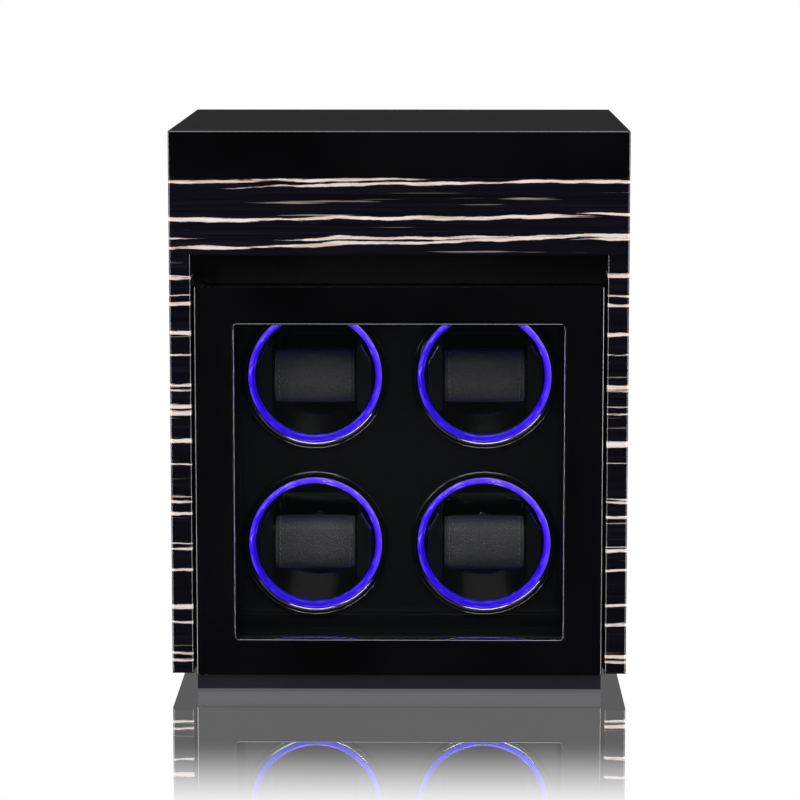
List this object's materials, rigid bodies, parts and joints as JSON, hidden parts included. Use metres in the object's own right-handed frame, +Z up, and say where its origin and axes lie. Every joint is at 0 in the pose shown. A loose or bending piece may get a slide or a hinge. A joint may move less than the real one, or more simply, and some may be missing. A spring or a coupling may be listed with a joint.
{
  "type": "watch winder box",
  "caption": "Lacquered cabinet with a glazed door over lit, motor-driven watch turntables and a hinged storage lid above.",
  "frame": {"origin": "middle of the footprint, on the surface that the feet stand on", "axes": "+Z up, -Y out of the door, +X to the right as seen from the front"},
  "size_m": [0.254, 0.23, 0.314],
  "materials": {
    "black_lacquer": "high-gloss piano lacquer",
    "macassar_veneer": "dark striped veneer under high-gloss lacquer",
    "black_board": "satin black board",
    "leatherette": "fine-grained black leatherette",
    "cushion_leatherette": "soft padded black leatherette",
    "suede_lining": "short-pile black lining",
    "clear_glass": "clear float glass",
    "black_chrome": "polished black chrome",
    "light_diffuser": "lit blue diffuser",
    "gloss_black_plastic": "piano-black moulding",
    "matte_black_plastic": "fine-textured moulding",
    "blackened_steel": "black oxide",
    "zinc_steel": "zinc-plated steel",
    "brass": "turned brass",
    "magnet_nickel": "nickel plate",
    "circuit_board": "green solder mask",
    "lead_insulation": "black insulation",
    "foot_rubber": "soft black rubber"
  },
  "bodies": {
    "case": {"plinth_base": "black_lacquer", "rubber_feet": "foot_rubber", "floor_board": "black_board", "catch_plate": "zinc_steel", "side_panel_left": "macassar_veneer", "side_panel_right": "macassar_veneer", "front_frame": "macassar_veneer", "back_panel": "black_lacquer", "rear_service_cover": "matte_black_plastic", "rear_cover_screws": "blackened_steel", "recess_panel": "leatherette", "storage_floor_board": "black_board", "storage_tray": "suede_lining", "lid_hinge_fixed_leaves": "brass", "door_pivot_brackets": "blackened_steel", "chamber_lining": "leatherette", "turntable_fascia": "gloss_black_plastic", "ring_bezels": "black_chrome", "light_rings": "light_diffuser", "motor_plate": "zinc_steel", "spindle_bushes": "brass", "plate_standoffs": "zinc_steel", "control_board": "circuit_board", "power_jack": "matte_black_plastic", "switch_housing": "matte_black_plastic", "wiring_harness": "lead_insulation", "gear_motor_1": "zinc_steel", "gear_motor_2": "zinc_steel", "gear_motor_3": "zinc_steel", "gear_motor_4": "zinc_steel"},
    "lid": {"lid_shell": "black_lacquer", "lid_lining": "suede_lining", "lid_hinge_moving_leaves": "brass"},
    "door": {"door_frame": "black_lacquer", "door_glass": "clear_glass", "glass_retainer": "matte_black_plastic", "door_magnet": "magnet_nickel", "door_pivot_bushes": "brass"},
    "light_switch": {"switch_rocker": "gloss_black_plastic"},
    "mode_dial": {"mode_knob": "matte_black_plastic"},
    "turntable_1": {"turntable_cup_1": "gloss_black_plastic"},
    "pinion_1": {"motor_pinion_1": "brass"},
    "holder_1": {"holder_frame_1": "gloss_black_plastic", "holder_cushion_1": "cushion_leatherette"},
    "storage_pillow_1": {"storage_cushion_1": "cushion_leatherette"},
    "turntable_2": {"turntable_cup_2": "gloss_black_plastic"},
    "pinion_2": {"motor_pinion_2": "brass"},
    "holder_2": {"holder_frame_2": "gloss_black_plastic", "holder_cushion_2": "cushion_leatherette"},
    "storage_pillow_2": {"storage_cushion_2": "cushion_leatherette"},
    "turntable_3": {"turntable_cup_3": "gloss_black_plastic"},
    "pinion_3": {"motor_pinion_3": "brass"},
    "holder_3": {"holder_frame_3": "gloss_black_plastic", "holder_cushion_3": "cushion_leatherette"},
    "storage_pillow_3": {"storage_cushion_3": "cushion_leatherette"},
    "turntable_4": {"turntable_cup_4": "gloss_black_plastic"},
    "pinion_4": {"motor_pinion_4": "brass"},
    "holder_4": {"holder_frame_4": "gloss_black_plastic", "holder_cushion_4": "cushion_leatherette"},
    "storage_pillow_4": {"storage_cushion_4": "cushion_leatherette"}
  },
  "joints": [
    {"name": "lid_hinge", "type": "hinge", "parent": "case", "child": "lid", "pos_m": [0, 0.1131, 0.28825], "axis": [-1, 0, 0], "range_deg": [0, 100]},
    {"name": "door_hinge", "type": "hinge", "parent": "case", "child": "door", "pos_m": [-0.11, -0.1115, 0.1185], "axis": [0, 0, -1], "range_deg": [0, 105]},
    {"name": "turntable_spin_1", "type": "hinge", "parent": "case", "child": "turntable_1", "pos_m": [-0.048, -0.026, 0.1725], "axis": [0, 1, 0], "continuous": true},
    {"name": "pinion_spin_1", "type": "hinge", "parent": "case", "child": "pinion_1", "pos_m": [-0.02763, -0.023, 0.15213], "axis": [0, 1, 0], "continuous": true},
    {"name": "holder_pull_1", "type": "slide", "parent": "turntable_1", "child": "holder_1", "axis": [0, -1, 0], "range_m": [0, 0.02]},
    {"name": "turntable_spin_2", "type": "hinge", "parent": "case", "child": "turntable_2", "pos_m": [0.048, -0.026, 0.1725], "axis": [0, 1, 0], "continuous": true},
    {"name": "pinion_spin_2", "type": "hinge", "parent": "case", "child": "pinion_2", "pos_m": [0.02763, -0.023, 0.15213], "axis": [0, 1, 0], "continuous": true},
    {"name": "holder_pull_2", "type": "slide", "parent": "turntable_2", "child": "holder_2", "axis": [0, -1, 0], "range_m": [0, 0.02]},
    {"name": "turntable_spin_3", "type": "hinge", "parent": "case", "child": "turntable_3", "pos_m": [-0.048, -0.026, 0.0765], "axis": [0, 1, 0], "continuous": true},
    {"name": "pinion_spin_3", "type": "hinge", "parent": "case", "child": "pinion_3", "pos_m": [-0.02763, -0.023, 0.09687], "axis": [0, 1, 0], "continuous": true},
    {"name": "holder_pull_3", "type": "slide", "parent": "turntable_3", "child": "holder_3", "axis": [0, -1, 0], "range_m": [0, 0.02]},
    {"name": "turntable_spin_4", "type": "hinge", "parent": "case", "child": "turntable_4", "pos_m": [0.048, -0.026, 0.0765], "axis": [0, 1, 0], "continuous": true},
    {"name": "pinion_spin_4", "type": "hinge", "parent": "case", "child": "pinion_4", "pos_m": [0.02763, -0.023, 0.09687], "axis": [0, 1, 0], "continuous": true},
    {"name": "holder_pull_4", "type": "slide", "parent": "turntable_4", "child": "holder_4", "axis": [0, -1, 0], "range_m": [0, 0.02]},
    {"name": "pillow_lift_1", "type": "slide", "parent": "case", "child": "storage_pillow_1", "axis": [0, 0, 1], "range_m": [0, 0.015]},
    {"name": "pillow_lift_2", "type": "slide", "parent": "case", "child": "storage_pillow_2", "axis": [0, 0, 1], "range_m": [0, 0.015]},
    {"name": "pillow_lift_3", "type": "slide", "parent": "case", "child": "storage_pillow_3", "axis": [0, 0, 1], "range_m": [0, 0.015]},
    {"name": "pillow_lift_4", "type": "slide", "parent": "case", "child": "storage_pillow_4", "axis": [0, 0, 1], "range_m": [0, 0.015]},
    {"name": "light_switch_rock", "type": "hinge", "parent": "case", "child": "light_switch", "pos_m": [0, 0.108, 0.07], "axis": [0, 0, 1], "range_deg": [0, 12]},
    {"name": "mode_dial_turn", "type": "hinge", "parent": "case", "child": "mode_dial", "pos_m": [0.04, 0.112, 0.07], "axis": [0, 1, 0], "range_deg": [0, 270]}
  ],
  "couplings": [
    {"joint": "pinion_spin_1", "follows": "turntable_spin_1", "ratio": -5},
    {"joint": "pinion_spin_2", "follows": "turntable_spin_2", "ratio": -5},
    {"joint": "pinion_spin_3", "follows": "turntable_spin_3", "ratio": -5},
    {"joint": "pinion_spin_4", "follows": "turntable_spin_4", "ratio": -5}
  ]
}
